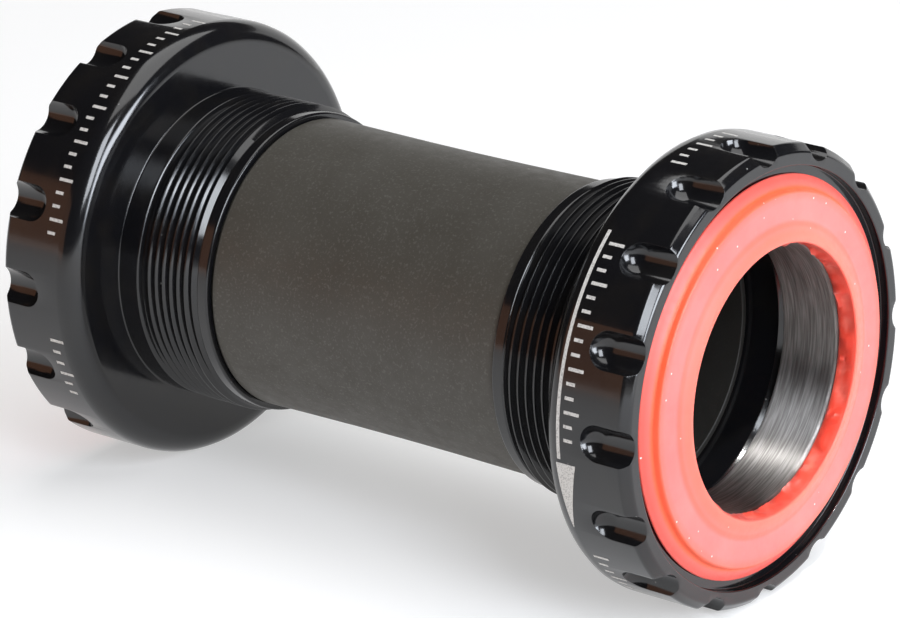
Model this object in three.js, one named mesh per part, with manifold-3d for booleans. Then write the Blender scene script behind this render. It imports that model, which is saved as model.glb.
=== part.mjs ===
// Threaded bottom bracket with external cups, for a 29 mm crank spindle. Millimetres.
// X is the spindle axis towards the drive side, Y is forward, Z is up.
import * as THREE from "three";
import { mergeVertices } from "three/addons/utils/BufferGeometryUtils.js";
import Module from "manifold-3d";

const wasm = await Module();
wasm.setup();

// Every axial dimension below is measured from the shell face of a cup, positive outboard.
const SHELL_FACE_X = 32.0; // half the distance between the two shell faces
const TUBE_SEGMENTS = 40;
const BEARING_SEGMENTS = 32;

// Cup
const THREAD_PITCH = 1.058; // 24 turns per inch
const THREAD_MAJOR_R = 17.4; // 1.37 inch thread
const THREAD_MINOR_R = 16.75;
const THREAD_START = -10.75;
const THREAD_END = -3.1;
const CUP_END = -12.4;
const CUP_END_R = 16.6;
const CUP_END_BEVEL = 0.25;
const LEAD_R = 16.9;
const NECK_R = 17.35;
const FLANGE_R = 24.85;
const FLANGE_DEPTH = 10.8;
const FLANGE_FILLET = 2.3;
const RIM_CHAMFER = 0.85;
const CUP_BORE_R = 15.95;
const BORE_END = 1.9;
const RELIEF_R = 19.6;
const SEAT_START = 2.5;
const SEAT_R = 21.12;
const RECESS_START = 9.75;
const RECESS_R = 22.6;

// Tool notches round the rim
const NOTCH_COUNT = 16;
const NOTCH_R = 2.1;
const NOTCH_AXIS_R = 25.3;
const NOTCH_START = 5.1;
const RIGHT_NOTCH_TURN = 0.08; // in notch spacings, from +Z towards -Y
const LEFT_NOTCH_TURN = -0.08; // in notch spacings, from +Z towards +Y

// Sleeve between the cups
const SLEEVE_R = 16.25;
const SLEEVE_WAIST_R = 16.05;
const SLEEVE_BORE_R = 15.0;
const SLEEVE_SHOULDER_X = 19.35;
const SLEEVE_TONGUE_R = 15.75;
const SLEEVE_END_X = 29.0;

// Bearing, 29 x 42 x 7
const BEARING_START = 2.55;
const BEARING_WIDTH = 7.0;
const BEARING_BORE_R = 14.5;
const BEARING_OUTER_R = 21.0;
const INNER_LAND_R = 16.7;
const OUTER_LAND_R = 19.0;
const BALL_COUNT = 16;
const BALL_R = 1.75;
const BALL_CIRCLE_R = 17.85;
const BALL_TRACK_HALF = 1.55;
const TRACK_DEPTH = 0.8;
const CAGE_INNER_R = 17.15;
const CAGE_OUTER_R = 18.6;
const CAGE_START = 5.6;
const CAGE_END = 8.6;
const POCKET_WIDTH = 3.9;
const POCKET_END = 7.95;
const SHIELD_THICKNESS = 0.5;
const SHIELD_INSET = 0.1;
const SHIELD_INNER_R = 16.95;
const SHIELD_OUTER_R = 18.88;

// Dust seal
const SEAL_BACK = 9.62;
const SEAL_HOLE_R = 14.7;
const SEAL_OUTER_R = 21.6;
const SEAL_FACE = 11.4;
const SEAL_TOP = 11.95;

const ANODISED = { color: 0x0c0c0d, roughness: 0.3, metalness: 0.6 };
const SLEEVE_PLASTIC = { color: 0x242422, roughness: 0.75, metalness: 0.0 };
const SEAL_RUBBER = { color: 0xe8484a, roughness: 0.6, metalness: 0.0 };
const RING_STEEL = { color: 0x8d8883, roughness: 0.4, metalness: 1.0 };
const BALL_STEEL = { color: 0xd0d0d0, roughness: 0.1, metalness: 1.0 };
const CAGE_NYLON = { color: 0xb9a173, roughness: 0.6, metalness: 0.0 };
const SHIELD_RUBBER = { color: 0x161616, roughness: 0.7, metalness: 0.0 };

function meshOf(name, geometry, finish) {
  const mesh = new THREE.Mesh(geometry, new THREE.MeshStandardMaterial(finish));
  mesh.name = name;
  return mesh;
}

// Radius of a polygon's corners when its flats must stay outside the radius given.
function clearOf(radius, segments) {
  return radius / Math.cos(Math.PI / segments);
}

// Solid of revolution about Y. The profile is a list of [radius, axial] and closes on itself.
function ring(profile, segments) {
  const points = profile.map(([radius, axial]) => new THREE.Vector2(radius, axial));
  points.push(points[0].clone());
  return new THREE.LatheGeometry(points, segments);
}

function toSolid(geometry) {
  const plain = geometry.clone();
  plain.deleteAttribute("normal");
  plain.deleteAttribute("uv");
  const merged = mergeVertices(plain, 1e-4);
  const corners = Array.from(merged.index.array);
  const triVerts = [];
  for (let i = 0; i < corners.length; i += 3) {
    const [a, b, c] = corners.slice(i, i + 3);
    if (a !== b && b !== c && c !== a) triVerts.push(a, b, c);
  }
  return new wasm.Manifold(
    new wasm.Mesh({
      numProp: 3,
      vertProperties: merged.attributes.position.array,
      triVerts: new Uint32Array(triVerts),
    }),
  );
}

function toGeometry(solid) {
  const mesh = solid.getMesh();
  const geometry = new THREE.BufferGeometry();
  geometry.setAttribute("position", new THREE.BufferAttribute(mesh.vertProperties, 3));
  geometry.setIndex(new THREE.BufferAttribute(mesh.triVerts, 1));
  geometry.computeVertexNormals();
  return geometry;
}

// Rows of a thread, two per turn: root then crest. Each row climbs one pitch in one turn.
function threadRows() {
  const rows = [];
  const count = 2 * Math.ceil((THREAD_END - THREAD_START) / THREAD_PITCH) + 4;
  for (let row = 0; row <= count; row += 1) {
    const crest = row % 2 === 1;
    rows.push((turn) => {
      const climbed = THREAD_START + THREAD_PITCH * (row / 2 + turn - 1);
      const axial = Math.min(Math.max(climbed, THREAD_START), THREAD_END);
      const inside = Math.min(axial - THREAD_START, THREAD_END - axial);
      const fade = Math.min(inside / (0.5 * THREAD_PITCH), 1);
      const rise = crest ? (THREAD_MAJOR_R - THREAD_MINOR_R) * fade : 0;
      return [THREAD_MINOR_R + rise, axial];
    });
  }
  return rows;
}

// Outside of the cup from its inboard end to the rim, then back through the bore. The short
// plain band before the thread guides the cup into the shell.
function cupRows() {
  const rows = [];
  const fixed = (radius, axial) => rows.push(() => [radius, axial]);
  fixed(CUP_END_R, CUP_END);
  fixed(LEAD_R, CUP_END + CUP_END_BEVEL);
  fixed(LEAD_R, THREAD_START - 0.2);
  rows.push(...threadRows());
  fixed(NECK_R, THREAD_END + 0.25);
  fixed(NECK_R, 0);
  fixed(FLANGE_R - FLANGE_FILLET, 0);
  for (let step = 1; step <= 4; step += 1) {
    const angle = (step * Math.PI) / 8;
    const radius = FLANGE_R - FLANGE_FILLET * (1 - Math.sin(angle));
    fixed(radius, FLANGE_FILLET * (1 - Math.cos(angle)));
  }
  fixed(FLANGE_R, FLANGE_DEPTH - RIM_CHAMFER);
  fixed(FLANGE_R - RIM_CHAMFER, FLANGE_DEPTH);
  fixed(RECESS_R, FLANGE_DEPTH);
  fixed(RECESS_R, RECESS_START);
  fixed(clearOf(SEAT_R, TUBE_SEGMENTS), RECESS_START);
  fixed(clearOf(SEAT_R, TUBE_SEGMENTS), SEAT_START);
  fixed(RELIEF_R, SEAT_START);
  fixed(RELIEF_R, BORE_END);
  fixed(CUP_BORE_R, BORE_END);
  fixed(CUP_BORE_R, CUP_END);
  return rows;
}

// Skin over the rows, round the Y axis. A positive hand climbs like a right-hand screw.
function cupSkin(hand) {
  const rows = cupRows();
  const positions = [];
  const index = [];
  for (const row of rows) {
    for (let i = 0; i <= TUBE_SEGMENTS; i += 1) {
      const turn = i / TUBE_SEGMENTS;
      const angle = 2 * Math.PI * turn * hand;
      const [radius, axial] = row(turn);
      positions.push(radius * Math.sin(angle), axial, radius * Math.cos(angle));
    }
  }
  const width = TUBE_SEGMENTS + 1;
  rows.forEach((_, row) => {
    const next = (row + 1) % rows.length;
    for (let i = 0; i < TUBE_SEGMENTS; i += 1) {
      const a = row * width + i;
      const b = next * width + i;
      const faces = hand > 0 ? [a, a + 1, b + 1, a, b + 1, b] : [a, b + 1, a + 1, a, b, b + 1];
      index.push(...faces);
    }
  });
  const skin = new THREE.BufferGeometry();
  skin.setAttribute("position", new THREE.Float32BufferAttribute(positions, 3));
  skin.setIndex(index);
  return skin;
}

// Ball-nosed cutter that opens one notch from the rim towards the shell face.
function notchCutter() {
  const nose = [];
  for (let step = 0; step <= 3; step += 1) {
    const angle = (step * Math.PI) / 6;
    const axial = NOTCH_START + NOTCH_R * (1 - Math.cos(angle));
    nose.push(new THREE.Vector2(NOTCH_R * Math.sin(angle), axial));
  }
  nose.push(new THREE.Vector2(NOTCH_R, FLANGE_DEPTH + 1));
  nose.push(new THREE.Vector2(0, FLANGE_DEPTH + 1));
  return new THREE.LatheGeometry(nose, 10);
}

function cup(name, hand, notchTurn) {
  let solid = toSolid(cupSkin(hand));
  for (let i = 0; i < NOTCH_COUNT; i += 1) {
    const angle = (2 * Math.PI * (i + notchTurn)) / NOTCH_COUNT;
    const cutter = notchCutter().translate(0, 0, NOTCH_AXIS_R).rotateY(angle);
    solid = solid.subtract(toSolid(cutter));
  }
  return meshOf(name, toGeometry(solid), ANODISED);
}

function sleeve() {
  const bore = clearOf(SLEEVE_BORE_R, TUBE_SEGMENTS);
  const profile = [
    [bore, -SLEEVE_END_X],
    [SLEEVE_TONGUE_R, -SLEEVE_END_X],
    [SLEEVE_TONGUE_R, -SLEEVE_SHOULDER_X],
    [SLEEVE_R, -SLEEVE_SHOULDER_X],
    [SLEEVE_WAIST_R, 0],
    [SLEEVE_R, SLEEVE_SHOULDER_X],
    [SLEEVE_TONGUE_R, SLEEVE_SHOULDER_X],
    [SLEEVE_TONGUE_R, SLEEVE_END_X],
    [bore, SLEEVE_END_X],
  ];
  const mesh = meshOf("sleeve", ring(profile, TUBE_SEGMENTS), SLEEVE_PLASTIC);
  mesh.rotation.z = -Math.PI / 2;
  return mesh;
}

// Ball track as seen from the ring it is cut in: side is +1 in the outer ring, -1 in the inner.
function track(landRadius, side) {
  const middle = BEARING_START + BEARING_WIDTH / 2;
  const shoulder = 0.6 * BALL_TRACK_HALF;
  return [
    [landRadius, middle + BALL_TRACK_HALF],
    [landRadius + side * 0.8 * TRACK_DEPTH, middle + shoulder],
    [landRadius + side * TRACK_DEPTH, middle],
    [landRadius + side * 0.8 * TRACK_DEPTH, middle - shoulder],
    [landRadius, middle - BALL_TRACK_HALF],
  ];
}

function bearingOuterRing(name) {
  const end = BEARING_START + BEARING_WIDTH;
  const profile = [
    [OUTER_LAND_R, BEARING_START],
    [BEARING_OUTER_R, BEARING_START],
    [BEARING_OUTER_R, end],
    [OUTER_LAND_R, end],
    ...track(OUTER_LAND_R, 1),
  ];
  return meshOf(name, ring(profile, BEARING_SEGMENTS), RING_STEEL);
}

function bearingInnerRing(name) {
  const end = BEARING_START + BEARING_WIDTH;
  const bore = clearOf(BEARING_BORE_R, BEARING_SEGMENTS);
  const profile = [
    [bore, end],
    [bore, BEARING_START],
    [INNER_LAND_R, BEARING_START],
    ...track(INNER_LAND_R, -1).reverse(),
    [INNER_LAND_R, end],
  ];
  return meshOf(name, ring(profile, BEARING_SEGMENTS), RING_STEEL);
}

function ballCentre(index) {
  const angle = (2 * Math.PI * index) / BALL_COUNT;
  const middle = BEARING_START + BEARING_WIDTH / 2;
  return [BALL_CIRCLE_R * Math.sin(angle), middle, BALL_CIRCLE_R * Math.cos(angle)];
}

// Crown cage: a ring with one pocket a ball, open on the inboard side.
function bearingCage(name) {
  const profile = [
    [CAGE_INNER_R, CAGE_START],
    [CAGE_OUTER_R, CAGE_START],
    [CAGE_OUTER_R, CAGE_END],
    [CAGE_INNER_R, CAGE_END],
  ];
  let solid = toSolid(ring(profile, BEARING_SEGMENTS));
  for (let i = 0; i < BALL_COUNT; i += 1) {
    const pocket = new THREE.BoxGeometry(POCKET_WIDTH, POCKET_END - CAGE_START + 1, 5);
    pocket.translate(0, (POCKET_END + CAGE_START - 1) / 2, BALL_CIRCLE_R);
    pocket.rotateY((2 * Math.PI * i) / BALL_COUNT);
    solid = solid.subtract(toSolid(pocket));
  }
  return meshOf(name, toGeometry(solid), CAGE_NYLON);
}

function bearingShield(name, start) {
  const profile = [
    [SHIELD_INNER_R, start],
    [SHIELD_OUTER_R, start],
    [SHIELD_OUTER_R, start + SHIELD_THICKNESS],
    [SHIELD_INNER_R, start + SHIELD_THICKNESS],
  ];
  return meshOf(name, ring(profile, BEARING_SEGMENTS), SHIELD_RUBBER);
}

function bearingBall(name, index) {
  const mesh = meshOf(name, new THREE.IcosahedronGeometry(BALL_R, 1), BALL_STEEL);
  mesh.position.set(...ballCentre(index));
  return mesh;
}

// Rubber ring on the bearing's inner ring: conical band, step, flat face, and a lip that rises
// towards the hole.
function dustSeal(name) {
  const hole = clearOf(SEAL_HOLE_R, TUBE_SEGMENTS);
  const profile = [
    [hole, SEAL_BACK],
    [INNER_LAND_R - 0.1, SEAL_BACK],
    [INNER_LAND_R + 0.1, SEAL_BACK + 0.25],
    [SEAL_OUTER_R, SEAL_BACK + 0.25],
    [SEAL_OUTER_R, SEAL_BACK + 0.45],
    [20.2, SEAL_FACE - 0.6],
    [19.95, SEAL_FACE],
    [16.95, SEAL_FACE],
    [15.25, SEAL_TOP],
    [hole, SEAL_TOP],
  ];
  return meshOf(name, ring(profile, TUBE_SEGMENTS), SEAL_RUBBER);
}

// One cup with its bearing and seal, built about Y with the shell face at zero.
function cupAssembly(side, hand, notchTurn) {
  const assembly = new THREE.Group();
  const outboardShield = BEARING_START + BEARING_WIDTH - SHIELD_INSET - SHIELD_THICKNESS;
  assembly.add(
    cup(`${side}_cup`, hand, notchTurn),
    bearingOuterRing(`${side}_bearing_outer_ring`),
    bearingInnerRing(`${side}_bearing_inner_ring`),
    bearingCage(`${side}_bearing_cage`),
    bearingShield(`${side}_bearing_inboard_shield`, BEARING_START + SHIELD_INSET),
    bearingShield(`${side}_bearing_outboard_shield`, outboardShield),
    dustSeal(`${side}_dust_seal`),
  );
  for (let i = 0; i < BALL_COUNT; i += 1) {
    assembly.add(bearingBall(`${side}_ball_${String(i + 1).padStart(2, "0")}`, i));
  }
  return assembly;
}

function bottomBracket() {
  const group = new THREE.Group();
  const right = cupAssembly("right", -1, RIGHT_NOTCH_TURN);
  right.rotation.z = -Math.PI / 2;
  right.position.x = SHELL_FACE_X;
  const left = cupAssembly("left", 1, LEFT_NOTCH_TURN);
  left.rotation.z = Math.PI / 2;
  left.position.x = -SHELL_FACE_X;
  group.add(sleeve(), right, left);
  return group;
}

export default bottomBracket();
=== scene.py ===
"""Threaded bottom bracket with external cups: the fine surfaces and finishes round the CAD frame.

Each piece is turned, cut and copied the way a maker would go about it in the modelling window.
The right-hand half is modelled. The left-hand half is its mirror image, hand of thread included.
"""

import math

import bmesh
import bpy
from bpy.props import FloatProperty, FloatVectorProperty, IntProperty, PointerProperty
from bpy.types import Operator, Panel, PropertyGroup
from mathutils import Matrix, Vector


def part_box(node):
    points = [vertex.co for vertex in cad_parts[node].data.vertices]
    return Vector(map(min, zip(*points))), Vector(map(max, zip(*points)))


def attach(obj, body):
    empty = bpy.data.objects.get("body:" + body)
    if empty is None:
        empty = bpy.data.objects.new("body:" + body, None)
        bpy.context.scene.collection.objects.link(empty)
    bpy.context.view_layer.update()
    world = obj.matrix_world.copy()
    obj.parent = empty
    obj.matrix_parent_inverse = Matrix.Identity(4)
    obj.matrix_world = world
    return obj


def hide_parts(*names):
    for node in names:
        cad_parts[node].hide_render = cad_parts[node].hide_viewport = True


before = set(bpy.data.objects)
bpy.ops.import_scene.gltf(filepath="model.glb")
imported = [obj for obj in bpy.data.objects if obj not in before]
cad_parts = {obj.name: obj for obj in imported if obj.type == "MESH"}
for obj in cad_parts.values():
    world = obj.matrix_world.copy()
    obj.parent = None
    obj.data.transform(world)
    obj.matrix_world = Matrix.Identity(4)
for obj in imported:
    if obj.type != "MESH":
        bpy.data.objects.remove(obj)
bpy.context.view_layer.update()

bl_info = {
    "name": "Bottom bracket",
    "version": (1, 0, 0),
    "blender": (4, 5, 0),
    "location": "3D View > Sidebar > Bottom bracket",
    "description": "Models a threaded external-cup bottom bracket piece by piece",
    "category": "Add Mesh",
}

MM = 0.001
TURN = 2 * math.pi
WELD = 1e-6
SHARP_MOUTH = math.radians(32)
BALL_CUTS = 7

CUP_LOW, CUP_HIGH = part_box("right_cup")
SLEEVE_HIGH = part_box("sleeve")[1]
SEAL_LOW, SEAL_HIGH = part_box("right_dust_seal")
OUTER_RING_LOW, OUTER_RING_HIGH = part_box("right_bearing_outer_ring")
INNER_RING_LOW, INNER_RING_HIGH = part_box("right_bearing_inner_ring")
CAGE_LOW, CAGE_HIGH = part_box("right_bearing_cage")
SHIELD_LOW, SHIELD_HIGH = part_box("right_bearing_inboard_shield")
BALL_LOW, BALL_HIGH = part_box("right_ball_01")

# The spot's aim, and the rows of ticks on the lands in degrees from the top
BORE_FLOOR = (0.038, 0.0083, -0.0119)
RIGHT_ROWS = ((44, 96), (-5, 21), (128, 150))
LEFT_ROWS = ((-1, 82), (104, 128))
BALL_NAMES = sorted(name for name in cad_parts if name.startswith("right_ball_"))


def length(label, description, default):
    """A distance the user may change."""
    return FloatProperty(
        name=label, description=description, default=default, min=0.0,
        precision=5, unit="LENGTH", subtype="DISTANCE",
    )


def colour(label, description, default):
    """A colour the user may change."""
    return FloatVectorProperty(
        name=label, description=description, default=default, min=0.0, max=1.0,
        size=3, subtype="COLOR",
    )


# ------------------------------------------------------------------ sizes and colours


class CupSizes(PropertyGroup):
    """Sizes of a cup. Depths are measured outboard from its shell face."""

    segments: IntProperty(name="Segments", description="Steps round a cup", default=256, min=64)
    flange_radius: length("Flange radius", "Radius of the notched land", CUP_HIGH.z)
    flange_depth: length("Flange depth", "Shell face to outboard face", 10.8 * MM)
    flange_fillet: length("Flange fillet", "Round between shell face and land", 2.3 * MM)
    rim_chamfer: length("Rim chamfer", "Chamfer on the outboard rim", 0.85 * MM)
    recess_radius: length("Recess radius", "Recess round the dust seal", 22.6 * MM)
    recess_depth: length("Recess depth", "Shell face to the recess floor", 9.75 * MM)
    seat_radius: length("Seat radius", "Bore that holds the bearing", 21.1 * MM)
    seat_depth: length("Seat depth", "Shell face to the bearing shoulder", 2.5 * MM)
    relief_radius: length("Relief radius", "Clearance behind the bearing", 19.6 * MM)
    relief_depth: length("Relief depth", "Shell face to the relief floor", 1.9 * MM)
    bore_radius: length("Bore radius", "Bore that takes the sleeve", 15.95 * MM)
    bore_mouth: length("Bore mouth", "Chamfer at the outboard end of the bore", 0.55 * MM)
    neck_radius: length("Neck radius", "Plain neck beside the shell face", 17.35 * MM)
    core_radius: length("Core radius", "Root of the thread", 16.78 * MM)
    crest_radius: length("Crest radius", "Crest of the thread", 17.4 * MM)
    thread_start: length("Thread start", "Shell face inboard to the first turn", 10.95 * MM)
    thread_end: length("Thread end", "Shell face inboard to the last turn", 3.0 * MM)
    thread_pitch: length("Thread pitch", "24 turns per inch", 1.058 * MM)
    lead_radius: length("Lead radius", "Plain band before the thread", 16.88 * MM)
    end_bevel: length("End bevel", "Rounding of the inboard end", 0.25 * MM)
    notch_count: IntProperty(name="Notches", description="Tool notches", default=16, min=3)
    notch_radius: length("Notch radius", "Radius of the ball-nosed notch", 2.1 * MM)
    notch_axis: length("Notch axis", "Radius at which a notch is centred", 25.3 * MM)
    notch_depth: length("Notch start", "Shell face to the nose of a notch", 5.1 * MM)
    notch_phase: FloatProperty(
        name="Notch phase", description="Turn of the first notch from the top",
        default=math.radians(1.8), subtype="ANGLE",
    )
    lip: length("Lip", "Rounding round a notch", 0.13 * MM)


class SleeveSizes(PropertyGroup):
    """Sizes of the sleeve between the cups."""

    end_radius: length("End radius", "Radius beside the cups", SLEEVE_HIGH.z)
    waist_radius: length("Waist radius", "Radius in the middle", 16.05 * MM)
    bore_radius: length("Bore radius", "Inside radius", 15.0 * MM)
    tongue_radius: length("Tongue radius", "Stepped end inside a cup", 15.75 * MM)
    shoulder: length("Shoulder", "Middle to the step", 19.35 * MM)


class BearingSizes(PropertyGroup):
    """Sizes of the 29 x 42 x 7 bearing."""

    outer_land: length("Outer land", "Radius of the outer ring's lands", 19.0 * MM)
    inner_land: length("Inner land", "Radius of the inner ring's lands", 16.7 * MM)
    bore_radius: length("Bore radius", "Spindle bore", 14.5 * MM)
    track_half: length("Track half width", "Half the width of a ball track", 1.55 * MM)
    track_depth: length("Track depth", "Depth of a ball track", 0.78 * MM)
    pocket_radius: length("Pocket radius", "Radius of a cage pocket", 1.86 * MM)
    cage_inner: length("Cage inside", "Inner radius of the cage", 17.15 * MM)
    shield_gap: length("Shield gap", "Inner ring's land to the shield", 0.25 * MM)
    shield_rise: length("Shield rise", "Depth of the shield's sunken rims", 0.12 * MM)


class SealSizes(PropertyGroup):
    """Sizes of the rubber dust seal. Depths are measured from its highest lip."""

    hole_radius: length("Hole radius", "Inner lip", 14.7 * MM)
    lip_inner: length("Lip radius", "Where the lip is highest", 15.2 * MM)
    lip_outer: length("Lip foot", "Where the lip starts to rise", 16.95 * MM)
    lip_height: length("Lip height", "Lip above the flat face", 0.55 * MM)
    face_outer: length("Face radius", "Outside of the flat face", 19.95 * MM)
    step_radius: length("Step radius", "Foot of the step up to the flat face", 20.17 * MM)
    step_height: length("Step height", "Conical band to the flat face", 0.65 * MM)
    edge: length("Edge", "Thickness at the outer edge", 0.2 * MM)
    flash: length("Flash", "Unevenness of the moulded hole", 1.7 * MM)


class MarkSizes(PropertyGroup):
    """Sizes of the plain laser marks on the lands."""

    line_width: length("Line width", "Width of the long line", 0.40 * MM)
    line_depth: length("Line place", "Shell face to the long line", 2.35 * MM)
    stroke: length("Stroke", "Width of a tick", 0.36 * MM)
    tall: length("Tall tick", "Length of every third tick", 1.9 * MM)
    short: length("Short tick", "Length of the ticks between", 1.1 * MM)
    pitch: length("Pitch", "Distance from tick to tick", 1.5 * MM)
    right_row: length("Right row", "Shell face to the ticks of the right cup", 3.05 * MM)
    left_row: length("Left row", "Shell face to the far side of the left cup's ticks", 4.2 * MM)
    arrow_width: length("Arrow width", "Width of the arrow at its foot", 2.4 * MM)
    arrow_shift: length("Arrow shift", "Long line to the middle of the arrow's foot", 0.8 * MM)
    proud: length("Proud", "Height of the marks above the land", 0.012 * MM)
    sunk: length("Sunk", "Depth of the marks in the land", 0.04 * MM)


class Finishes(PropertyGroup):
    """Colours of the finishes."""

    anodised: colour("Anodising", "Black anodised cups", (0.0055, 0.0055, 0.0065))
    sleeve: colour("Sleeve", "Moulded sleeve", (0.053, 0.048, 0.039))
    rubber: colour("Rubber", "Dust seals", (0.85, 0.150, 0.136))
    ring: colour("Ring steel", "Bearing rings", (0.19, 0.18, 0.17))
    ball: colour("Ball steel", "Bearing balls", (0.62, 0.62, 0.63))
    nylon: colour("Nylon", "Ball cages", (0.42, 0.31, 0.16))
    shield: colour("Shield rubber", "Bearing shields", (0.012, 0.012, 0.013))
    mark: colour("Marks", "Laser marks", (0.62, 0.60, 0.57))


class StageSizes(PropertyGroup):
    """The camera, floor and lights."""

    azimuth: FloatProperty(
        name="Azimuth", description="Camera direction", default=math.radians(38.47),
        subtype="ANGLE",
    )
    elevation: FloatProperty(
        name="Elevation", description="Camera height", default=math.radians(18.89),
        subtype="ANGLE",
    )
    distance: length("Distance", "Camera to the middle of the part", 524.8 * MM)
    pan: length("Pan", "Camera shift to the right", 0.59 * MM)
    drop: length("Drop", "Camera shift down", 1.30 * MM)
    lens: FloatProperty(name="Lens", description="Focal length in mm", default=193.02, min=1.0)
    floor: length("Floor", "Side of the floor", 4.0)


SETTINGS = {
    "bb_cup": CupSizes,
    "bb_sleeve": SleeveSizes,
    "bb_bearing": BearingSizes,
    "bb_seal": SealSizes,
    "bb_marks": MarkSizes,
    "bb_finish": Finishes,
    "bb_stage": StageSizes,
}


# ------------------------------------------------------------------ hand tools


def deselect():
    """Leave edit mode with nothing selected."""
    if bpy.context.object and bpy.context.object.mode != "OBJECT":
        bpy.ops.object.mode_set(mode="OBJECT")
    bpy.ops.object.select_all(action="DESELECT")


def take(piece):
    """Select one object alone."""
    deselect()
    piece.select_set(True)
    bpy.context.view_layer.objects.active = piece


def edit(piece, kind="VERT"):
    """Open a piece in edit mode with nothing selected."""
    take(piece)
    bpy.ops.object.mode_set(mode="EDIT")
    bpy.ops.mesh.select_mode(type=kind)
    bpy.ops.mesh.select_all(action="DESELECT")


def pick(piece, wanted, kind="verts"):
    """Select the vertices, edges or faces for which wanted(element) is true."""
    mesh = bmesh.from_edit_mesh(piece.data)
    for element in getattr(mesh, kind):
        if wanted(element):
            element.select_set(True)
    mesh.select_flush_mode()
    bmesh.update_edit_mesh(piece.data)


def named(name):
    """Name the object just added and put its place into its mesh."""
    piece = bpy.context.object
    piece.name = name
    piece.data.name = name
    bpy.ops.object.transform_apply(location=True, rotation=True, scale=True)
    return piece


def face_outwards(piece):
    """Weld the seam and turn every face outwards."""
    bpy.ops.mesh.select_all(action="SELECT")
    bpy.ops.mesh.remove_doubles(threshold=WELD)
    bpy.ops.mesh.normals_make_consistent(inside=False)
    bpy.ops.object.mode_set(mode="OBJECT")


def apply(piece, kind, **values):
    """Add a modifier to a piece and apply it."""
    take(piece)
    modifier = piece.modifiers.new(kind.title(), kind)
    for key, value in values.items():
        setattr(modifier, key, value)
    bpy.ops.object.modifier_apply(modifier=modifier.name)


def smooth(piece, angle=35):
    """Smooth shading that keeps the true edges."""
    take(piece)
    bpy.ops.object.shade_smooth_by_angle(angle=math.radians(angle))


def outline(name, corners, closed=True):
    """Draw a wire outline in the XZ plane by extruding one point from corner to corner.

    A corner is (x, radius) or (x, radius, rounding), where rounding is the length taken off
    each side of the corner.
    """
    deselect()
    x, radius = corners[0][:2]
    bpy.ops.mesh.primitive_plane_add(size=MM, location=(x, 0, radius))
    piece = named(name)
    edit(piece)
    bpy.ops.mesh.select_all(action="SELECT")
    bpy.ops.mesh.merge(type="CENTER")
    stops = corners[1:] + corners[:1] if closed else corners[1:]
    for stop in stops:
        step = (stop[0] - x, 0, stop[1] - radius)
        bpy.ops.mesh.extrude_vertices_move(TRANSFORM_OT_translate={"value": step})
        x, radius = stop[:2]
    bpy.ops.mesh.select_all(action="SELECT")
    bpy.ops.mesh.remove_doubles(threshold=WELD)
    for corner in corners:
        if len(corner) == 3:
            round_corner(piece, corner)
    return piece


def round_corner(piece, corner, segments=5):
    """Bevel one corner of an outline."""
    place = Vector((corner[0], 0, corner[1]))
    bpy.ops.mesh.select_all(action="DESELECT")
    pick(piece, lambda vertex: (vertex.co - place).length < WELD)
    bpy.ops.mesh.bevel(offset=corner[2], segments=segments, affect="VERTICES")


def held(corners, hold=0.12 * MM):
    """Add a point close to each side of every rounded corner, so that shading stays tight."""
    kept = []
    count = len(corners)
    for i, corner in enumerate(corners):
        place = Vector(corner[:2])
        before = Vector(corners[i - 1][:2]) - place
        after = Vector(corners[(i + 1) % count][:2]) - place
        reach = (corner[2] if len(corner) == 3 else 0) + hold
        if len(corner) == 3 and before.length > 2.5 * reach:
            kept.append(tuple(place + before.normalized() * reach))
        kept.append(corner)
        if len(corner) == 3 and after.length > 2.5 * reach:
            kept.append(tuple(place + after.normalized() * reach))
    return kept


def turn_all(phase):
    """Select the whole open mesh and turn it about the spindle axis."""
    bpy.ops.mesh.select_all(action="SELECT")
    if phase:
        bpy.ops.transform.rotate(value=phase, orient_axis="X", center_override=(0, 0, 0))


def spin(steps, angle=TURN, phase=0.0):
    """Sweep the whole outline about the spindle axis."""
    turn_all(phase)
    bpy.ops.mesh.spin(steps=steps, angle=angle, center=(0, 0, 0), axis=(1, 0, 0))


def turned(name, corners, steps=128, phase=0.0):
    """A ring turned from a closed outline."""
    piece = outline(name, held(corners))
    spin(steps, phase=phase)
    face_outwards(piece)
    return piece


def ring_copies(piece, count, phase=0.0):
    """Copy a piece round the spindle axis and join the copies into one object."""
    edit(piece)
    turn_all(phase)
    step = TURN / count
    bpy.ops.mesh.spin(
        steps=count - 1, angle=TURN - step, dupli=True, center=(0, 0, 0), axis=(1, 0, 0)
    )
    bpy.ops.object.mode_set(mode="OBJECT")


def cut(piece, tool, operation="DIFFERENCE"):
    """Boolean a tool into a piece and throw the tool away."""
    apply(piece, "BOOLEAN", object=tool, operation=operation, solver="MANIFOLD")
    bpy.data.objects.remove(tool)


def copied(piece, name, mirror=False, shift=(0, 0, 0)):
    """A copy with its own mesh, mirrored across the middle plane if asked, and then moved."""
    take(piece)
    bpy.ops.object.duplicate(linked=False)
    copy = bpy.context.object
    copy.name = name
    copy.data.name = name
    bpy.ops.object.mode_set(mode="EDIT")
    bpy.ops.mesh.select_all(action="SELECT")
    if mirror:
        bpy.ops.transform.resize(value=(-1, 1, 1), center_override=(0, 0, 0))
        bpy.ops.mesh.flip_normals()
    bpy.ops.transform.translate(value=shift)
    bpy.ops.object.mode_set(mode="OBJECT")
    return copy


def fit(piece, node, body, material):
    """Put a finished piece in the frame in place of its CAD node."""
    piece.data.materials.clear()
    piece.data.materials.append(material)
    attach(piece, body)
    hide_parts(node)


def fit_pair(piece, node, body, material):
    """Fit a right-hand piece and its mirror image on the left."""
    twin = copied(piece, node.replace("right_", "left_") + "_fine", mirror=True)
    fit(piece, node, body, material)
    fit(twin, node.replace("right_", "left_"), body.replace("right_", "left_"), material)
    return twin


# ------------------------------------------------------------------ finishes


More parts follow.
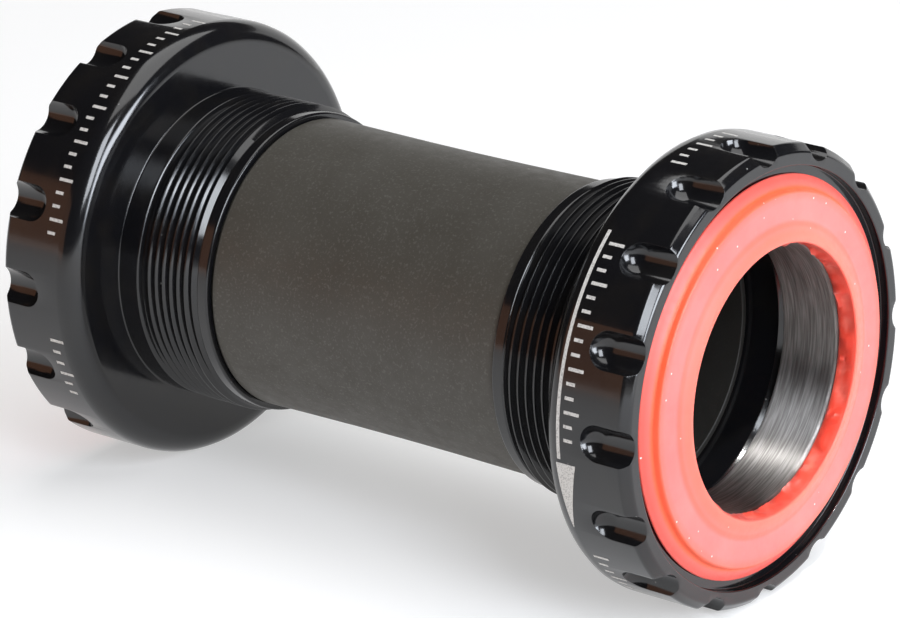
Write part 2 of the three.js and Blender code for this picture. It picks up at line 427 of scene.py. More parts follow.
class Finish:
    """A material and the nodes it is built from."""

    def __init__(self, name, base, **sockets):
        self.material = bpy.data.materials.new(name)
        self.material.use_nodes = True
        self.tree = self.material.node_tree
        self.shader = self.tree.nodes["Principled BSDF"]
        self.base = (*base, 1.0)
        self.shader.inputs["Base Color"].default_value = self.base
        for socket, value in sockets.items():
            self.shader.inputs[socket.replace("_", " ")].default_value = value
        self.place = self.node("ShaderNodeTexCoord").outputs["Object"]

    def node(self, kind, **values):
        """Add a node with these properties."""
        made = self.tree.nodes.new(kind)
        for key, value in values.items():
            setattr(made, key, value)
        return made

    def link(self, source, target):
        """Join an output to an input."""
        self.tree.links.new(source, target)

    def maths(self, operation, *terms):
        """Combine outputs and numbers."""
        made = self.node("ShaderNodeMath", operation=operation)
        for socket, term in zip(made.inputs, terms):
            if isinstance(term, (int, float)):
                socket.default_value = term
            else:
                self.link(term, socket)
        return made.outputs[0]

    def noise(self, scale, detail=2.0, stretch=(1, 1, 1)):
        """Noise over the piece, in patterns per metre."""
        mapping = self.node("ShaderNodeMapping")
        mapping.inputs["Scale"].default_value = stretch
        self.link(self.place, mapping.inputs["Vector"])
        made = self.node("ShaderNodeTexNoise")
        made.inputs["Scale"].default_value = scale
        made.inputs["Detail"].default_value = detail
        self.link(mapping.outputs[0], made.inputs["Vector"])
        return made.outputs["Fac"]

    def turned_place(self):
        """Distance along the spindle axis and distance from it."""
        split = self.node("ShaderNodeSeparateXYZ")
        self.link(self.place, split.inputs[0])
        x, y, z = split.outputs
        squared = self.maths("ADD", self.maths("MULTIPLY", y, y), self.maths("MULTIPLY", z, z))
        return x, self.maths("SQRT", squared)

    def near_radius(self, radius, reach, amount):
        """The amount given at a radius, fading to nothing a reach away from it."""
        away = self.maths("ABSOLUTE", self.maths("SUBTRACT", self.turned_place()[1], radius))
        return self.between(away, 0.3 * reach, reach, amount, 0.0)

    def lathe_lines(self, scale):
        """Fine rings that follow the lathe tool along cylinders and across faces."""
        x, radius = self.turned_place()
        made = self.node("ShaderNodeTexNoise", noise_dimensions="1D")
        self.link(self.maths("ADD", x, radius), made.inputs["W"])
        made.inputs["Scale"].default_value = scale
        made.inputs["Detail"].default_value = 3.0
        return made.outputs["Fac"]

    def between(self, value, low, high, new_low, new_high):
        """Map a range of a value to another."""
        made = self.node("ShaderNodeMapRange")
        self.link(value, made.inputs["Value"])
        for socket, number in zip(list(made.inputs)[1:5], (low, high, new_low, new_high)):
            socket.default_value = number
        return made.outputs["Result"]

    def specks(self, scale, size):
        """Sparse round dust specks, one where a cell is near its point."""
        made = self.node("ShaderNodeTexVoronoi", feature="F1")
        made.inputs["Scale"].default_value = scale
        self.link(self.place, made.inputs["Vector"])
        near = self.between(made.outputs["Distance"], size, 0.5 * size, 0.0, 1.0)
        split = self.node("ShaderNodeSeparateColor")
        self.link(made.outputs["Color"], split.inputs[0])
        chosen = self.maths("GREATER_THAN", split.outputs[0], 0.72)
        return self.maths("MULTIPLY", near, chosen)

    def tint(self, factor, other):
        """Blend the colour so far towards another by a factor."""
        mix = self.node("ShaderNodeMix", data_type="RGBA")
        links = self.shader.inputs["Base Color"].links
        if links:
            self.link(links[0].from_socket, mix.inputs[6])
        else:
            mix.inputs[6].default_value = self.base
        mix.inputs[7].default_value = (*other, 1.0)
        self.link(factor, mix.inputs[0])
        self.link(mix.outputs[2], self.shader.inputs["Base Color"])

    def mottle(self, scale, detail, low, high, amount, other):
        """Blend the colour towards another where noise rises from low to high."""
        self.tint(self.between(self.noise(scale, detail), low, high, 0.0, amount), other)

    def ring_tint(self, radius, reach, amount, other):
        """Blend the colour towards another near a radius."""
        self.tint(self.near_radius(radius, reach, amount), other)

    def rough(self, scale, detail, smoothest, roughest, stretch=(1, 1, 1)):
        """Roughness that wanders between two values over the piece."""
        noise = self.noise(scale, detail, stretch)
        value = self.between(noise, 0.3, 0.7, smoothest, roughest)
        self.link(value, self.shader.inputs["Roughness"])

    def bump(self, height, distance, strength=1.0):
        """Relief, chained onto any relief already there."""
        made = self.node("ShaderNodeBump")
        made.inputs["Strength"].default_value = strength
        made.inputs["Distance"].default_value = distance
        self.link(height, made.inputs["Height"])
        links = self.shader.inputs["Normal"].links
        if links:
            self.link(links[0].from_socket, made.inputs["Normal"])
        self.link(made.outputs[0], self.shader.inputs["Normal"])


def anodised(finishes):
    """Glossy black anodising over turned aluminium, with a little dust on it."""
    made = Finish(
        "black_anodising", finishes.anodised, IOR=1.52, Coat_Weight=0.15, Coat_Roughness=0.04
    )
    made.mottle(260, 2, 0.45, 0.75, 0.5, (0.012, 0.0105, 0.009))
    made.tint(made.specks(420, 0.055), (0.20, 0.20, 0.19))
    made.rough(900, 4, 0.11, 0.17)
    made.bump(made.lathe_lines(5200), 0.000004, 0.35)
    return made.material


def moulded_sleeve(finishes):
    """Dull, faintly speckled moulded plastic, with painted shade that darkens its bore."""
    made = Finish("sleeve_plastic", finishes.sleeve, IOR=1.46)
    # Painted shade: the wall of the bore is blended almost to black.
    inside = made.between(made.turned_place()[1], 15.5 * MM, 15.8 * MM, 0.85, 0.0)
    made.mottle(120, 5, 0.35, 0.7, 0.6, (0.070, 0.066, 0.056))
    made.mottle(3600, 2, 0.56, 0.70, 0.45, (0.135, 0.13, 0.115))
    made.tint(made.specks(380, 0.06), (0.30, 0.29, 0.26))
    # Painted shade in the bore.
    made.tint(inside, (0.012, 0.011, 0.010))
    made.rough(700, 3, 0.46, 0.58)
    made.bump(made.noise(4200, 3), 0.00002, 0.35)
    return made.material


def seal_rubber(finishes, seal):
    """Coral silicone rubber that lets a little light through, with painted shade that deepens its
    outer band, lip, step and hole.
    """
    made = Finish(
        "seal_rubber", finishes.rubber, IOR=1.41, Subsurface_Weight=0.35,
        Subsurface_Radius=(0.0016, 0.0005, 0.0003), Subsurface_Scale=1.0, Sheen_Weight=0.1,
    )
    made.mottle(150, 4, 0.35, 0.75, 0.5, (0.90, 0.225, 0.205))
    # Painted shade: the ring tints below deepen the colour of the one rubber on the outer band,
    # the lip, the lip's foot, the step and the wall of the hole.
    made.ring_tint(SEAL_HIGH.z, 1.6 * MM, 0.9, (0.80, 0.080, 0.058))
    made.ring_tint(seal.lip_inner, 1.9 * MM, 0.75, (0.87, 0.150, 0.095))
    made.ring_tint(seal.lip_outer - 0.3 * MM, 0.45 * MM, 0.45, (0.84, 0.105, 0.05))
    made.ring_tint(seal.step_radius - 0.2 * MM, 1.0 * MM, 0.45, (0.84, 0.10, 0.05))
    made.ring_tint(seal.step_radius, 0.42 * MM, 0.9, (0.85, 0.105, 0.030))
    made.ring_tint(seal.hole_radius - 0.25 * MM, 0.42 * MM, 0.85, (0.74, 0.045, 0.020))
    made.tint(made.specks(640, 0.085), (0.97, 0.72, 0.68))
    made.rough(1300, 3, 0.36, 0.5)
    made.bump(made.noise(2600, 4), 0.00002, 0.3)
    return made.material


def ground_steel(finishes):
    """Bearing steel with grinding lines that run round it."""
    made = Finish(
        "ground_steel", finishes.ring, Metallic=1.0, Anisotropic=0.95, Anisotropic_Rotation=0.25
    )
    around = made.node("ShaderNodeTangent", direction_type="RADIAL", axis="X")
    made.link(around.outputs[0], made.shader.inputs["Tangent"])
    scratches = made.noise(5200, 4, (1, 0.05, 0.05))
    made.tint(made.between(scratches, 0.38, 0.66, 0.0, 0.8), (0.40, 0.385, 0.37))
    made.rough(700, 4, 0.42, 0.54, (1, 0.2, 0.2))
    made.bump(scratches, 0.00002, 0.5)
    return made.material


def ball_steel(finishes):
    """Polished ball steel."""
    made = Finish("ball_steel", finishes.ball, Metallic=1.0)
    made.mottle(1500, 3, 0.4, 0.7, 0.5, (0.52, 0.52, 0.54))
    made.rough(2400, 3, 0.05, 0.12)
    return made.material


def cage_nylon(finishes):
    """Natural nylon, faintly mottled."""
    made = Finish(
        "cage_nylon", finishes.nylon, IOR=1.53, Subsurface_Weight=0.1,
        Subsurface_Radius=(0.001, 0.0007, 0.0004), Subsurface_Scale=1.0,
    )
    made.mottle(700, 4, 0.35, 0.7, 0.7, (0.52, 0.41, 0.24))
    made.rough(2000, 3, 0.42, 0.58)
    made.bump(made.noise(5000, 2), 0.00001, 0.4)
    return made.material


def shield_rubber(finishes):
    """Black nitrile rubber moulded on a steel washer."""
    made = Finish("shield_rubber", finishes.shield, IOR=1.5)
    made.mottle(900, 4, 0.4, 0.7, 0.6, (0.024, 0.023, 0.022))
    made.rough(3000, 3, 0.45, 0.6)
    made.bump(made.lathe_lines(9000), 0.00001, 0.5)
    return made.material


def laser_mark(finishes):
    """Pale oxide left by a marking laser, a little patchy."""
    made = Finish("laser_mark", finishes.mark)
    made.mottle(6500, 4, 0.5, 0.66, 0.75, (0.22, 0.21, 0.20))
    made.rough(6500, 2, 0.6, 0.8)
    return made.material


def pale_floor():
    """Plain matt studio paper, lit a little from below."""
    made = Finish("pale_floor", (0.60, 0.60, 0.60), Roughness=0.9, Emission_Strength=0.46)
    made.shader.inputs["Emission Color"].default_value = (1.0, 1.0, 1.0, 1.0)
    made.mottle(40, 3, 0.3, 0.7, 0.3, (0.58, 0.58, 0.585))
    return made.material


# ------------------------------------------------------------------ cups


def thread_profile(cup, x):
    """One thread ridge as an outline: embedded root, flanks and a rounded crest."""
    half_crest = cup.thread_pitch / 16
    root = cup.core_radius - 0.15 * MM
    flank = (cup.crest_radius - root) * math.tan(math.radians(30))
    return [
        (x - half_crest - flank, root),
        (x - half_crest, cup.crest_radius, 0.03 * MM),
        (x + half_crest, cup.crest_radius, 0.03 * MM),
        (x + half_crest + flank, root),
    ]


def thread_ridge(cup, face_x):
    """The helical ridge of a left-hand thread, cut to length with bevelled ends."""
    start = face_x - cup.thread_end + 2 * cup.thread_pitch
    turns = math.ceil((cup.thread_start - cup.thread_end) / cup.thread_pitch) + 4
    ridge = outline("thread_ridge", thread_profile(cup, start))
    bpy.ops.object.mode_set(mode="OBJECT")
    apply(
        ridge, "SCREW", axis="X", angle=TURN * turns, screw_offset=-cup.thread_pitch * turns,
        steps=192 * turns, render_steps=192 * turns, use_normal_calculate=True,
    )
    edit(ridge)
    bpy.ops.mesh.select_non_manifold(use_wire=False, use_multi_face=False)
    bpy.ops.mesh.fill_holes(sides=0)
    face_outwards(ridge)
    low = face_x - cup.thread_start
    high = face_x - cup.thread_end
    margin = 0.05 * MM
    depth = cup.crest_radius - cup.core_radius + 2 * margin
    inner = cup.core_radius - 1.5 * MM
    envelope = turned("thread_envelope", [
        (low, inner),
        (low, cup.core_radius - margin),
        (low + depth, cup.crest_radius + margin),
        (high - depth, cup.crest_radius + margin),
        (high, cup.core_radius - margin),
        (high, inner),
    ], steps=cup.segments)
    cut(ridge, envelope, "INTERSECT")
    return ridge


def notch_cutter(cup, face_x):
    """Ball-nosed cutter for one notch: half a ball, drawn outboard past the rim."""
    deselect()
    nose_x = face_x + cup.notch_depth + cup.notch_radius
    bpy.ops.mesh.primitive_uv_sphere_add(
        segments=64, ring_count=32, radius=cup.notch_radius,
        location=(nose_x, 0, cup.notch_axis), rotation=(0, math.radians(90), 0),
    )
    cutter = named("notch_cutter")
    edit(cutter)
    bpy.ops.mesh.select_all(action="SELECT")
    bpy.ops.mesh.bisect(
        plane_co=(nose_x, 0, 0), plane_no=(1, 0, 0), clear_outer=True, threshold=WELD
    )
    bpy.ops.mesh.select_all(action="DESELECT")
    pick(cutter, lambda edge: edge.is_boundary, "edges")
    reach = cup.flange_depth - cup.notch_depth
    bpy.ops.mesh.extrude_region_move(TRANSFORM_OT_translate={"value": (reach, 0, 0)})
    bpy.ops.mesh.edge_face_add()
    face_outwards(cutter)
    return cutter


def cup_blank(cup, face_x):
    """The turned body of a cup, before its thread and notches."""
    rim_x = face_x + cup.flange_depth
    end_x = CUP_LOW.x
    lead_x = face_x - cup.thread_start - 0.1 * MM
    relief = 0.3 * MM
    corners = [
        (end_x, cup.bore_radius, 0.2 * MM),
        (end_x, cup.lead_radius, cup.end_bevel),
        (lead_x, cup.lead_radius, 0.06 * MM),
        (lead_x + 0.1 * MM, cup.core_radius),
        (face_x - cup.thread_end, cup.core_radius),
        (face_x - cup.thread_end + relief, cup.neck_radius, 0.08 * MM),
        (face_x, cup.neck_radius, 0.16 * MM),
        (face_x, cup.flange_radius, cup.flange_fillet),
        (rim_x - cup.rim_chamfer, cup.flange_radius, 0.22 * MM),
        (rim_x, cup.flange_radius - cup.rim_chamfer, 0.22 * MM),
        (rim_x, cup.recess_radius, 0.12 * MM),
        (face_x + cup.recess_depth, cup.recess_radius, 0.1 * MM),
        (face_x + cup.recess_depth, cup.seat_radius, 0.1 * MM),
        (face_x + cup.seat_depth, cup.seat_radius),
        (face_x + cup.seat_depth, cup.relief_radius, 0.1 * MM),
        (face_x + cup.relief_depth, cup.relief_radius, 0.1 * MM),
        (face_x + cup.relief_depth, cup.bore_radius + cup.bore_mouth, 0.05 * MM),
        (face_x + cup.relief_depth - 1.6 * cup.bore_mouth, cup.bore_radius, 0.05 * MM),
    ]
    return turned("right_cup_fine", corners, steps=cup.segments, phase=-cup.notch_phase)


def round_notches(body, cup, face_x):
    """Take the sharp edge off the mouth of every notch."""
    low = face_x + cup.notch_depth - 0.1 * MM
    inner = cup.recess_radius + 0.05 * MM

    def on_mouth(edge):
        ends = [vertex.co for vertex in edge.verts]
        outside = all(place.x > low and place.yz.length > inner for place in ends)
        return outside and edge.is_manifold and edge.calc_face_angle() > SHARP_MOUTH

    edit(body)
    pick(body, lambda vertex: vertex.co.x > low and vertex.co.yz.length > inner)
    bpy.ops.mesh.remove_doubles(threshold=0.012 * MM)
    edit(body, "EDGE")
    pick(body, on_mouth, "edges")
    bpy.ops.mesh.bevel(offset=cup.lip, segments=3, clamp_overlap=True)
    bpy.ops.object.mode_set(mode="OBJECT")


class BB_OT_cups(Operator):
    """Model the right cup with its left-hand thread and tool notches, and mirror the left one"""

    bl_idname = "bottom_bracket.cups"
    bl_label = "Cups"

    def execute(self, context):
        cup = context.scene.bb_cup
        face_x = CUP_HIGH.x - cup.flange_depth
        body = cup_blank(cup, face_x)
        cut(body, thread_ridge(cup, face_x), "UNION")
        cutters = notch_cutter(cup, face_x)
        ring_copies(cutters, cup.notch_count, -cup.notch_phase)
        cut(body, cutters)
        round_notches(body, cup, face_x)
        smooth(body)
        fit_pair(body, "right_cup", "right_cup_unit",
                 anodised(context.scene.bb_finish))
        return {"FINISHED"}


# ------------------------------------------------------------------ sleeve


class BB_OT_sleeve(Operator):
    """Turn the waisted sleeve with its stepped ends"""

    bl_idname = "bottom_bracket.sleeve"
    bl_label = "Sleeve"

    def execute(self, context):
        sleeve = context.scene.bb_sleeve
        end_x = SLEEVE_HIGH.x
        half = [
            (0.35 * sleeve.shoulder, sleeve.waist_radius + 0.03 * MM),
            (0.7 * sleeve.shoulder, sleeve.waist_radius + 0.11 * MM),
            (sleeve.shoulder, sleeve.end_radius, 0.12 * MM),
            (sleeve.shoulder, sleeve.tongue_radius, 0.06 * MM),
            (end_x, sleeve.tongue_radius, 0.2 * MM),
            (end_x, sleeve.bore_radius, 0.1 * MM),
        ]
        mirrored = [(-corner[0], *corner[1:]) for corner in reversed(half)]
        middle = [(0, sleeve.waist_radius)]
        piece = turned("sleeve_fine", mirrored + middle + half, steps=192)
        smooth(piece)
        fit(piece, "sleeve", "sleeve", moulded_sleeve(context.scene.bb_finish))
        return {"FINISHED"}


# ------------------------------------------------------------------ dust seals


def roughen_hole(piece, seal):
    """Push the wall of the moulded hole in and out a little, as flash leaves it."""
    reach = seal.hole_radius + 0.02 * MM
    low, high = SEAL_LOW.x + 0.3 * MM, SEAL_HIGH.x - 0.8 * MM
    edit(piece)
    pick(piece, lambda vertex: low < vertex.co.x < high and vertex.co.yz.length < reach)
    bpy.ops.object.vertex_group_add()
    bpy.ops.object.vertex_group_assign()
    bpy.ops.object.mode_set(mode="OBJECT")
    waves = bpy.data.textures.new("flash", "CLOUDS")
    waves.noise_scale = 1.9 * MM
    waves.noise_depth = 2
    apply(
        piece, "DISPLACE", texture=waves, texture_coords="LOCAL", strength=seal.flash,
        mid_level=0.42, vertex_group=piece.vertex_groups[0].name,
    )
    bpy.data.textures.remove(waves)


class BB_OT_dust_seals(Operator):
    """Turn the right dust seal, roughen its inner lip, and mirror the left one"""

    bl_idname = "bottom_bracket.dust_seals"
    bl_label = "Dust seals"

    def execute(self, context):
        seal = context.scene.bb_seal
        bearing = context.scene.bb_bearing
        back_x, top_x = SEAL_LOW.x, SEAL_HIGH.x
        face_x = top_x - seal.lip_height
        skirt_x = back_x + 0.25 * MM
        edge = SEAL_HIGH.z
        corners = [
            (back_x, seal.hole_radius, 0.1 * MM),
            (back_x, bearing.inner_land - 0.1 * MM),
            (skirt_x, bearing.inner_land + 0.1 * MM),
            (skirt_x, edge, 0.06 * MM),
            (skirt_x + seal.edge, edge, 0.1 * MM),
            (face_x - seal.step_height, seal.step_radius, 0.16 * MM),
            (face_x, seal.face_outer, 0.18 * MM),
            (face_x, seal.lip_outer, 0.3 * MM),
            (top_x, seal.lip_inner, 0.2 * MM),
            (top_x, seal.hole_radius, 0.2 * MM),
            (top_x - 0.9 * MM, seal.hole_radius),
            (back_x + 0.9 * MM, seal.hole_radius),
            (back_x + 0.5 * MM, seal.hole_radius - 0.12 * MM),
        ]
        piece = turned("right_dust_seal_fine", corners, steps=256)
        roughen_hole(piece, seal)
        smooth(piece, 60)
        fit_pair(piece, "right_dust_seal", "right_rotor",
                 seal_rubber(context.scene.bb_finish, seal))
        return {"FINISHED"}


# ------------------------------------------------------------------ bearings


def track_corners(middle, land, side, bearing):
    """Ball track as three corners, the middle one rounded. Side is +1 cut outwards."""
    return [
        (middle + bearing.track_half, land, 0.08 * MM),
        (middle, land + side * 1.25 * bearing.track_depth, 0.8 * bearing.track_half),
        (middle - bearing.track_half, land, 0.08 * MM),
    ]


class BB_OT_bearing_rings(Operator):
    """Turn the outer and inner rings of the right bearing and mirror the left ones"""

    bl_idname = "bottom_bracket.bearing_rings"
    bl_label = "Bearing rings"

    def execute(self, context):
        bearing = context.scene.bb_bearing
        steel = ground_steel(context.scene.bb_finish)
        low, high = OUTER_RING_LOW.x, OUTER_RING_HIGH.x
        middle = (low + high) / 2
        outer = turned("right_bearing_outer_ring_fine", [
            (low, bearing.outer_land, 0.1 * MM),
            (low, OUTER_RING_HIGH.z, 0.4 * MM),
            (high, OUTER_RING_HIGH.z, 0.4 * MM),
            (high, bearing.outer_land, 0.1 * MM),
            *track_corners(middle, bearing.outer_land, 1, bearing),
        ])
        smooth(outer)
        fit_pair(outer, "right_bearing_outer_ring", "right_cup_unit", steel)
        low, high = INNER_RING_LOW.x, INNER_RING_HIGH.x
        inner = turned("right_bearing_inner_ring_fine", [
            (low, bearing.inner_land, 0.1 * MM),
            *reversed(track_corners(middle, bearing.inner_land, -1, bearing)),
            (high, bearing.inner_land, 0.1 * MM),
            (high, bearing.bore_radius, 0.3 * MM),
            (low, bearing.bore_radius, 0.35 * MM),
        ], steps=192)
        smooth(inner)
        fit_pair(inner, "right_bearing_inner_ring", "right_rotor", steel)
        return {"FINISHED"}


class BB_OT_shields(Operator):
    """Turn the inboard shield of the right bearing, copy the outboard one, and mirror both"""

    bl_idname = "bottom_bracket.shields"
    bl_label = "Bearing shields"

    def execute(self, context):
        rubber = shield_rubber(context.scene.bb_finish)
        bearing = context.scene.bb_bearing
        low, high = SHIELD_LOW.x, SHIELD_HIGH.x
        inner = bearing.inner_land + bearing.shield_gap
        outer = SHIELD_HIGH.z
        rise = bearing.shield_rise
        inboard = turned("right_bearing_inboard_shield_fine", [
            (low + rise, inner, 0.05 * MM),
            (low + rise, inner + 0.5 * MM, 0.05 * MM),
            (low, inner + 0.65 * MM, 0.05 * MM),
            (low, outer - 0.45 * MM, 0.05 * MM),
            (low + rise, outer - 0.3 * MM, 0.05 * MM),
            (low + rise, outer, 0.05 * MM),
            (high, outer, 0.06 * MM),
            (high, inner, 0.06 * MM),
        ])
        smooth(inboard)
        middle = (OUTER_RING_LOW.x + OUTER_RING_HIGH.x) / 2
        outboard = copied(
            inboard, "right_bearing_outboard_shield_fine", mirror=True, shift=(2 * middle, 0, 0)
        )
        for piece, node in (
            (inboard, "right_bearing_inboard_shield"),
            (outboard, "right_bearing_outboard_shield"),
        ):
            fit_pair(piece, node, "right_cup_unit", rubber)
        return {"FINISHED"}


def ball_places():
    """Name and centre of each ball of the right bearing, from the frame."""
    for name in BALL_NAMES:
        low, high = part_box(name)
        yield name, (low + high) / 2


def round_ball(name, radius, centre):
    """A ball drawn up from a cube, so that its faces are all about one size."""
    deselect()
    bpy.ops.mesh.primitive_cube_add(size=radius, location=(0, 0, 0))
    ball = named(name)
    edit(ball)
    bpy.ops.mesh.select_all(action="SELECT")
    bpy.ops.mesh.subdivide(number_cuts=BALL_CUTS)
    bpy.ops.transform.tosphere(value=1.0, center_override=(0, 0, 0))
    size = max(vertex.co.length for vertex in bmesh.from_edit_mesh(ball.data).verts)
    bpy.ops.transform.resize(value=(radius / size,) * 3, center_override=(0, 0, 0))
    bpy.ops.transform.translate(value=centre)
    face_outwards(ball)
    return ball


class BB_OT_cages(Operator):
    """Turn the right cage, open its ball pockets, and mirror the left one"""

    bl_idname = "bottom_bracket.cages"
    bl_label = "Ball cages"

    def execute(self, context):
        bearing = context.scene.bb_bearing
        inner, outer = bearing.cage_inner, CAGE_HIGH.z
        low, high = CAGE_LOW.x, CAGE_HIGH.x
        cage = turned("right_bearing_cage_fine", [
            (low, inner, 0.12 * MM),
            (low, outer, 0.12 * MM),
            (high, outer, 0.2 * MM),
            (high, inner, 0.2 * MM),
        ], steps=192)
        centre = next(ball_places())[1]
        pockets = round_ball("pockets", bearing.pocket_radius, centre)
        ring_copies(pockets, len(BALL_NAMES))
        cut(cage, pockets)
        smooth(cage)
        fit_pair(cage, "right_bearing_cage", "right_ball_set",
                 cage_nylon(context.scene.bb_finish))
        return {"FINISHED"}


class BB_OT_balls(Operator):
    """Model one ball, copy it to every place in the right bearing, and mirror the left ones"""

    bl_idname = "bottom_bracket.balls"
    bl_label = "Bearing balls"

    def execute(self, context):
        steel = ball_steel(context.scene.bb_finish)
        radius = (BALL_HIGH.x - BALL_LOW.x) / 2
        places = list(ball_places())
        first = places[0][1]
        pattern = round_ball("ball_pattern", radius, first)
        smooth(pattern, 60)
        for name, centre in places:
            ball = copied(pattern, name + "_fine", shift=centre - first)
            fit_pair(ball, name, "right_ball_set", steel)
        bpy.data.objects.remove(pattern)
        return {"FINISHED"}


# ------------------------------------------------------------------ laser marks


def strip(name, x, length_x, marks, start, angle, steps):
    """A thin strip on the land: an edge along the axis, turned about it."""
    radius = CUP_HIGH.z + marks.proud
    ends = [(x - length_x / 2, radius), (x + length_x / 2, radius)]
    piece = outline(name, ends, closed=False)
    spin(steps, -angle, phase=-start)
    bpy.ops.object.mode_set(mode="OBJECT")
    return piece


def turn_of(place):
    """Angle of a place about the spindle axis, from the top towards the back of the bicycle."""
    return math.atan2(-place.y, place.z)


def tapered(piece, middle_x, tip_x):
    """Close the far end of a strip to a point, evenly along its length."""
    edit(piece)
    points = bmesh.from_edit_mesh(piece.data).verts
    turns = sorted({round(turn_of(vertex.co), 5) for vertex in points})
    for i, turn in enumerate(turns):
        share = i / (len(turns) - 1)
        width = 1 - 0.97 * share
        bpy.ops.mesh.select_all(action="DESELECT")
        pick(piece, lambda vertex: abs(turn_of(vertex.co) - turn) < 1e-4)
        bpy.ops.transform.resize(value=(width, 1, 1), center_override=(middle_x, 0, 0))
        bpy.ops.transform.translate(value=(share * (tip_x - middle_x), 0, 0))
    bpy.ops.object.mode_set(mode="OBJECT")


def tick_rows(marks, x, rows):
    """Rows of ticks along a land between angles, every third tick tall, all from one line."""
    step = marks.pitch / CUP_HIGH.z
    width = marks.stroke / CUP_HIGH.z
    ticks = []
    for start, end in rows:
        start, end = math.radians(start), math.radians(end)
        for i in range(int((end - start) / step)):
            reach = marks.short if i % 3 else marks.tall
            ticks.append(strip("tick", x + reach / 2, reach, marks, start + i * step, width, 2))
    return ticks


def finish_marks(name, strips, marks, material, body):
    """Join the strips, thicken them into the land and fit them."""
    take(strips[0])
    for piece in strips:
        piece.select_set(True)
    bpy.ops.object.join()
    joined = bpy.context.object
    joined.name = name
    joined.data.name = name
    edit(joined)
    face_outwards(joined)
    apply(joined, "SOLIDIFY", thickness=marks.proud + marks.sunk, offset=-1)
    edit(joined)
    face_outwards(joined)
    joined.data.materials.append(material)
    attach(joined, body)


class BB_OT_marks(Operator):
    """Lay plain laser marks on both lands: a line that ends in an arrow, and rows of ticks"""

    bl_idname = "bottom_bracket.marks"
    bl_label = "Laser marks"

    def execute(self, context):
        marks = context.scene.bb_marks
        material = laser_mark(context.scene.bb_finish)
        face_x = CUP_HIGH.x - context.scene.bb_cup.flange_depth
        line_x = face_x + marks.line_depth
        foot_x = line_x + marks.arrow_shift
        turn = math.radians
        line = strip("line", line_x, marks.line_width, marks, turn(41), turn(57), 96)
        arrow = strip("arrow", foot_x, marks.arrow_width, marks, turn(99), turn(19), 32)
        tapered(arrow, foot_x, line_x)
        right = [line, arrow, *tick_rows(marks, face_x + marks.right_row, RIGHT_ROWS)]
        finish_marks("right_marks", right, marks, material, "right_cup_unit")
        left = tick_rows(marks, -face_x - marks.left_row, LEFT_ROWS)
        finish_marks("left_marks", left, marks, material, "left_cup_unit")
        return {"FINISHED"}


# ------------------------------------------------------------------ stage


def light(name, kind, place, target, power, **values):
    """Add a light of a kind that points at a place."""
    data = bpy.data.lights.new(name, kind)
    data.energy = power
    for key, value in values.items():
        setattr(data, key, value)
    lamp = bpy.data.objects.new(name, data)
    bpy.context.scene.collection.objects.link(lamp)
    lamp.location = place
    lamp.rotation_euler = (Vector(target) - Vector(place)).to_track_quat("-Z", "Y").to_euler()
    return lamp


def soft_box(name, place, size, power, tint=(1, 1, 1)):
    """A soft rectangular light, aimed at the part, that stays out of the picture."""
    width, height = size
    box = light(
        name, "AREA", place, (0, 0, 0), power,
        shape="RECTANGLE", size=width, size_y=height, color=tint,
    )
    box.visible_camera = False
    return box


def studio_lights():
    """Soft boxes round the part and a small spot into the bore."""
    soft_box("overhead", (0.12, 0.12, 0.70), (0.8, 0.7), 4.3)
    soft_box("key", (0.42, -0.25, 0.30), (0.19, 0.34), 2.3, (0.88, 0.93, 1))
    soft_box("right", (0.50, 0.05, 0.115), (0.27, 0.22), 1.9, (0.90, 0.94, 1))
    gleam = soft_box("low_card", (0.62, 0.04, 0.14), (0.38, 0.32), 2.0, (0.80, 0.88, 1))
    gleam.visible_diffuse = False
    light(
        "bore", "SPOT", (0.150, -0.015, 0.210), BORE_FLOOR, 2.6,
        spot_size=math.radians(4.5), spot_blend=0.8, shadow_soft_size=0.008,
    )
    soft_box("backdrop", (-0.35, 0.95, 0.20), (1.7, 0.5), 2.6)
    soft_box("warm_card", (-0.30, -0.42, 0.09), (0.44, 0.26), 0.22, (1, 0.48, 0.28))


def studio_world():
    """Pale surroundings for the camera, dark ones for reflections."""
    world = bpy.data.worlds.new("studio")
    world.use_nodes = True
    tree = world.node_tree
    seen = tree.nodes.new("ShaderNodeLightPath").outputs["Is Camera Ray"]
    mix = tree.nodes.new("ShaderNodeMix")
    mix.data_type = "RGBA"
    mix.inputs[6].default_value = (0.030, 0.028, 0.027, 1)
    mix.inputs[7].default_value = (0.93, 0.93, 0.93, 1)
    background = tree.nodes["Background"]
    tree.links.new(seen, mix.inputs[0])
    tree.links.new(mix.outputs[2], background.inputs["Color"])
    bpy.context.scene.world = world


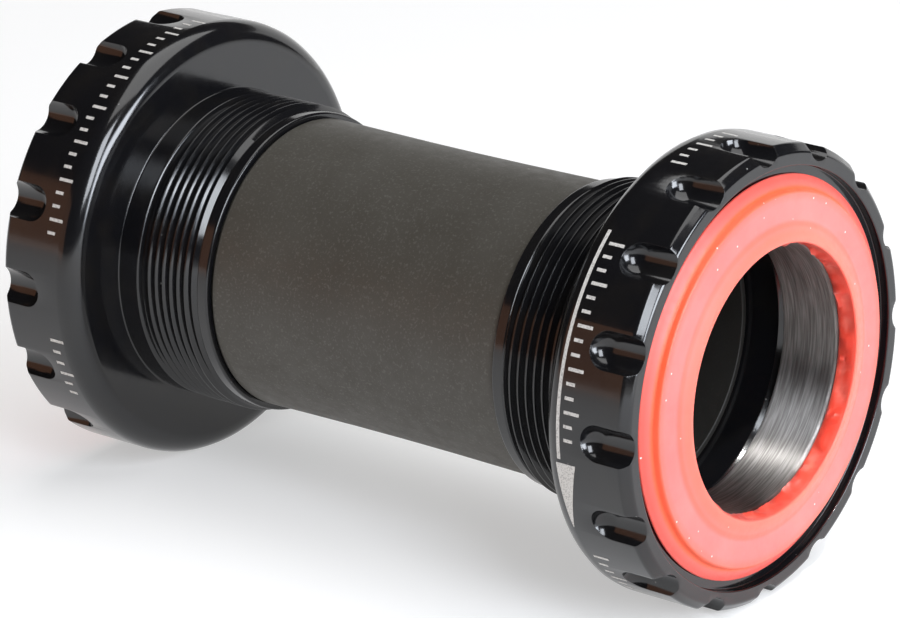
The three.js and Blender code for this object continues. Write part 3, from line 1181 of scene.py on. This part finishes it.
def camera_for(stage):
    """The camera, turned by azimuth and elevation and slid sideways and down a little."""
    data = bpy.data.cameras.new("camera")
    data.lens = stage.lens
    data.sensor_width = 36
    data.clip_start = 0.01
    camera = bpy.data.objects.new("camera", data)
    bpy.context.scene.collection.objects.link(camera)
    sideways = Vector((math.cos(stage.azimuth), math.sin(stage.azimuth), 0))
    level = Vector((-math.sin(stage.azimuth), math.cos(stage.azimuth), 0))
    ahead = level * math.cos(stage.elevation) - Vector((0, 0, math.sin(stage.elevation)))
    upright = sideways.cross(ahead)
    camera.location = sideways * stage.pan - upright * stage.drop - ahead * stage.distance
    camera.rotation_euler = (math.radians(90) - stage.elevation, 0, stage.azimuth)
    bpy.context.scene.camera = camera


class BB_OT_stage(Operator):
    """Set the floor, the soft lights and the camera"""

    bl_idname = "bottom_bracket.stage"
    bl_label = "Stage"

    def execute(self, context):
        stage = context.scene.bb_stage
        deselect()
        bpy.ops.mesh.primitive_plane_add(size=stage.floor, location=(0, 0, CUP_LOW.z))
        floor = named("floor")
        floor.data.materials.append(pale_floor())
        camera_for(stage)
        studio_lights()
        studio_world()
        context.scene.view_settings.view_transform = "Standard"
        return {"FINISHED"}


# ------------------------------------------------------------------ add-on


OPERATORS = (
    BB_OT_cups, BB_OT_sleeve, BB_OT_dust_seals, BB_OT_bearing_rings, BB_OT_shields,
    BB_OT_cages, BB_OT_balls, BB_OT_marks, BB_OT_stage,
)


class BB_PT_panel(Panel):
    """Sidebar list of the pieces"""

    bl_idname = "BB_PT_panel"
    bl_label = "Bottom bracket"
    bl_space_type = "VIEW_3D"
    bl_region_type = "UI"
    bl_category = "Bottom bracket"

    def draw(self, context):
        for operator in OPERATORS:
            self.layout.operator(operator.bl_idname)


CLASSES = (*SETTINGS.values(), *OPERATORS, BB_PT_panel)


def register():
    """Add the classes and give the scene their settings."""
    for each in CLASSES:
        bpy.utils.register_class(each)
    for name, group in SETTINGS.items():
        setattr(bpy.types.Scene, name, PointerProperty(type=group))


def unregister():
    """Take the settings and the classes away again."""
    for name in SETTINGS:
        delattr(bpy.types.Scene, name)
    for each in reversed(CLASSES):
        bpy.utils.unregister_class(each)


def main():
    """Make every piece and the stage, in order."""
    register()
    bpy.ops.bottom_bracket.cups()
    bpy.ops.bottom_bracket.sleeve()
    bpy.ops.bottom_bracket.dust_seals()
    bpy.ops.bottom_bracket.bearing_rings()
    bpy.ops.bottom_bracket.shields()
    bpy.ops.bottom_bracket.cages()
    bpy.ops.bottom_bracket.balls()
    bpy.ops.bottom_bracket.marks()
    bpy.ops.bottom_bracket.stage()


if __name__ == "__main__":
    main()
